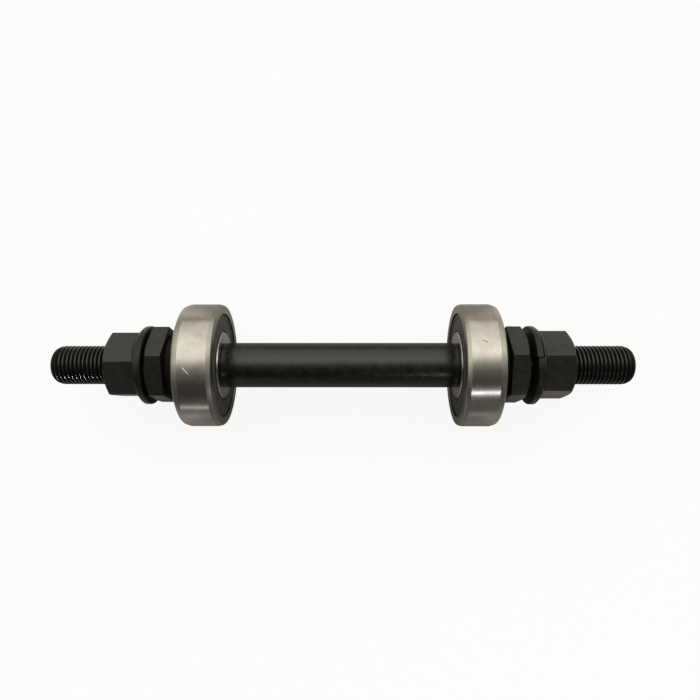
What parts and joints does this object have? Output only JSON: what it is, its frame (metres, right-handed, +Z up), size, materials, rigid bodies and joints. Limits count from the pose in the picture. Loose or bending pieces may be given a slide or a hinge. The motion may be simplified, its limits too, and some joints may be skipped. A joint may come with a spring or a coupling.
{
  "type": "bicycle hub axle",
  "caption": "Threaded steel hub axle with two sealed ball bearings that spin, spacers, hex locknuts, split lock washers and flanged axle nuts that screw along the threads.",
  "frame": {"origin": "middle of the axle, on its centre line", "axes": "+X along the axle to its right end, +Z up, with the split of the right lock washer near the top"},
  "size_m": [0.1416, 0.03, 0.03],
  "materials": {
    "black_oxide": "satin",
    "ground_steel": "satin",
    "seal_rubber": "matte",
    "sheet_steel": "satin",
    "ball_steel": "polished"
  },
  "bodies": {
    "axle": {"axle": "black_oxide", "left_inner_ring": "ground_steel", "left_spacer": "black_oxide", "left_locknut": "black_oxide", "right_inner_ring": "ground_steel", "right_spacer": "black_oxide", "right_locknut": "black_oxide"},
    "left_outer_ring": {"left_outer_ring": "ground_steel", "left_inboard_seal": "seal_rubber", "left_outboard_seal": "seal_rubber"},
    "left_cage": {"left_inboard_cage": "sheet_steel", "left_outboard_cage": "sheet_steel", "left_cage_rivets": "ball_steel"},
    "left_ball_1": {"left_ball_1": "ball_steel"},
    "left_ball_2": {"left_ball_2": "ball_steel"},
    "left_ball_3": {"left_ball_3": "ball_steel"},
    "left_ball_4": {"left_ball_4": "ball_steel"},
    "left_ball_5": {"left_ball_5": "ball_steel"},
    "left_ball_6": {"left_ball_6": "ball_steel"},
    "left_ball_7": {"left_ball_7": "ball_steel"},
    "left_ball_8": {"left_ball_8": "ball_steel"},
    "left_lock_washer": {"left_lock_washer": "black_oxide"},
    "left_axle_nut": {"left_axle_nut": "black_oxide"},
    "right_outer_ring": {"right_outer_ring": "ground_steel", "right_inboard_seal": "seal_rubber", "right_outboard_seal": "seal_rubber"},
    "right_cage": {"right_inboard_cage": "sheet_steel", "right_outboard_cage": "sheet_steel", "right_cage_rivets": "ball_steel"},
    "right_ball_1": {"right_ball_1": "ball_steel"},
    "right_ball_2": {"right_ball_2": "ball_steel"},
    "right_ball_3": {"right_ball_3": "ball_steel"},
    "right_ball_4": {"right_ball_4": "ball_steel"},
    "right_ball_5": {"right_ball_5": "ball_steel"},
    "right_ball_6": {"right_ball_6": "ball_steel"},
    "right_ball_7": {"right_ball_7": "ball_steel"},
    "right_ball_8": {"right_ball_8": "ball_steel"},
    "right_lock_washer": {"right_lock_washer": "black_oxide"},
    "right_axle_nut": {"right_axle_nut": "black_oxide"}
  },
  "joints": [
    {"name": "left_bearing_spin", "type": "hinge", "parent": "axle", "child": "left_outer_ring", "pos_m": [-0.0335, 0, 0], "axis": [1, 0, 0], "continuous": true},
    {"name": "left_cage_roll", "type": "hinge", "parent": "axle", "child": "left_cage", "pos_m": [-0.0335, 0, 0], "axis": [1, 0, 0], "continuous": true},
    {"name": "left_ball_1_spin", "type": "hinge", "parent": "left_cage", "child": "left_ball_1", "pos_m": [-0.0335, 0, 0.01], "axis": [1, 0, 0], "continuous": true},
    {"name": "left_ball_2_spin", "type": "hinge", "parent": "left_cage", "child": "left_ball_2", "pos_m": [-0.0335, 0.00707, 0.00707], "axis": [1, 0, 0], "continuous": true},
    {"name": "left_ball_3_spin", "type": "hinge", "parent": "left_cage", "child": "left_ball_3", "pos_m": [-0.0335, 0.01, 0], "axis": [1, 0, 0], "continuous": true},
    {"name": "left_ball_4_spin", "type": "hinge", "parent": "left_cage", "child": "left_ball_4", "pos_m": [-0.0335, 0.00707, -0.00707], "axis": [1, 0, 0], "continuous": true},
    {"name": "left_ball_5_spin", "type": "hinge", "parent": "left_cage", "child": "left_ball_5", "pos_m": [-0.0335, 0, -0.01], "axis": [1, 0, 0], "continuous": true},
    {"name": "left_ball_6_spin", "type": "hinge", "parent": "left_cage", "child": "left_ball_6", "pos_m": [-0.0335, -0.00707, -0.00707], "axis": [1, 0, 0], "continuous": true},
    {"name": "left_ball_7_spin", "type": "hinge", "parent": "left_cage", "child": "left_ball_7", "pos_m": [-0.0335, -0.01, 0], "axis": [1, 0, 0], "continuous": true},
    {"name": "left_ball_8_spin", "type": "hinge", "parent": "left_cage", "child": "left_ball_8", "pos_m": [-0.0335, -0.00707, 0.00707], "axis": [1, 0, 0], "continuous": true},
    {"name": "left_nut_turn", "type": "hinge", "parent": "left_lock_washer", "child": "left_axle_nut", "pos_m": [-0.0483, 0, 0], "axis": [-1, 0, 0], "range_deg": [0, 5040]},
    {"name": "left_washer_slide", "type": "slide", "parent": "axle", "child": "left_lock_washer", "axis": [-1, 0, 0], "range_m": [0, 0.01368]},
    {"name": "right_bearing_spin", "type": "hinge", "parent": "axle", "child": "right_outer_ring", "pos_m": [0.0326, 0, 0], "axis": [1, 0, 0], "continuous": true},
    {"name": "right_cage_roll", "type": "hinge", "parent": "axle", "child": "right_cage", "pos_m": [0.0326, 0, 0], "axis": [1, 0, 0], "continuous": true},
    {"name": "right_ball_1_spin", "type": "hinge", "parent": "right_cage", "child": "right_ball_1", "pos_m": [0.0326, 0, 0.01], "axis": [1, 0, 0], "continuous": true},
    {"name": "right_ball_2_spin", "type": "hinge", "parent": "right_cage", "child": "right_ball_2", "pos_m": [0.0326, -0.00707, 0.00707], "axis": [1, 0, 0], "continuous": true},
    {"name": "right_ball_3_spin", "type": "hinge", "parent": "right_cage", "child": "right_ball_3", "pos_m": [0.0326, -0.01, 0], "axis": [1, 0, 0], "continuous": true},
    {"name": "right_ball_4_spin", "type": "hinge", "parent": "right_cage", "child": "right_ball_4", "pos_m": [0.0326, -0.00707, -0.00707], "axis": [1, 0, 0], "continuous": true},
    {"name": "right_ball_5_spin", "type": "hinge", "parent": "right_cage", "child": "right_ball_5", "pos_m": [0.0326, 0, -0.01], "axis": [1, 0, 0], "continuous": true},
    {"name": "right_ball_6_spin", "type": "hinge", "parent": "right_cage", "child": "right_ball_6", "pos_m": [0.0326, 0.00707, -0.00707], "axis": [1, 0, 0], "continuous": true},
    {"name": "right_ball_7_spin", "type": "hinge", "parent": "right_cage", "child": "right_ball_7", "pos_m": [0.0326, 0.01, 0], "axis": [1, 0, 0], "continuous": true},
    {"name": "right_ball_8_spin", "type": "hinge", "parent": "right_cage", "child": "right_ball_8", "pos_m": [0.0326, 0.00707, 0.00707], "axis": [1, 0, 0], "continuous": true},
    {"name": "right_nut_turn", "type": "hinge", "parent": "right_lock_washer", "child": "right_axle_nut", "pos_m": [0.0471, 0, 0], "axis": [1, 0, 0], "range_deg": [0, 5400]},
    {"name": "right_washer_slide", "type": "slide", "parent": "axle", "child": "right_lock_washer", "axis": [1, 0, 0], "range_m": [0, 0.01465]}
  ],
  "couplings": [
    {"joint": "left_cage_roll", "follows": "left_bearing_spin", "ratio": 0.61906},
    {"joint": "left_ball_1_spin", "follows": "left_bearing_spin", "ratio": 1.9807},
    {"joint": "left_ball_2_spin", "follows": "left_bearing_spin", "ratio": 1.9807},
    {"joint": "left_ball_3_spin", "follows": "left_bearing_spin", "ratio": 1.9807},
    {"joint": "left_ball_4_spin", "follows": "left_bearing_spin", "ratio": 1.9807},
    {"joint": "left_ball_5_spin", "follows": "left_bearing_spin", "ratio": 1.9807},
    {"joint": "left_ball_6_spin", "follows": "left_bearing_spin", "ratio": 1.9807},
    {"joint": "left_ball_7_spin", "follows": "left_bearing_spin", "ratio": 1.9807},
    {"joint": "left_ball_8_spin", "follows": "left_bearing_spin", "ratio": 1.9807},
    {"joint": "left_nut_turn", "follows": "left_washer_slide", "rad_per_m": 6431.6},
    {"joint": "right_cage_roll", "follows": "right_bearing_spin", "ratio": 0.61906},
    {"joint": "right_ball_1_spin", "follows": "right_bearing_spin", "ratio": 1.9807},
    {"joint": "right_ball_2_spin", "follows": "right_bearing_spin", "ratio": 1.9807},
    {"joint": "right_ball_3_spin", "follows": "right_bearing_spin", "ratio": 1.9807},
    {"joint": "right_ball_4_spin", "follows": "right_bearing_spin", "ratio": 1.9807},
    {"joint": "right_ball_5_spin", "follows": "right_bearing_spin", "ratio": 1.9807},
    {"joint": "right_ball_6_spin", "follows": "right_bearing_spin", "ratio": 1.9807},
    {"joint": "right_ball_7_spin", "follows": "right_bearing_spin", "ratio": 1.9807},
    {"joint": "right_ball_8_spin", "follows": "right_bearing_spin", "ratio": 1.9807},
    {"joint": "right_nut_turn", "follows": "right_washer_slide", "rad_per_m": 6431.6}
  ]
}
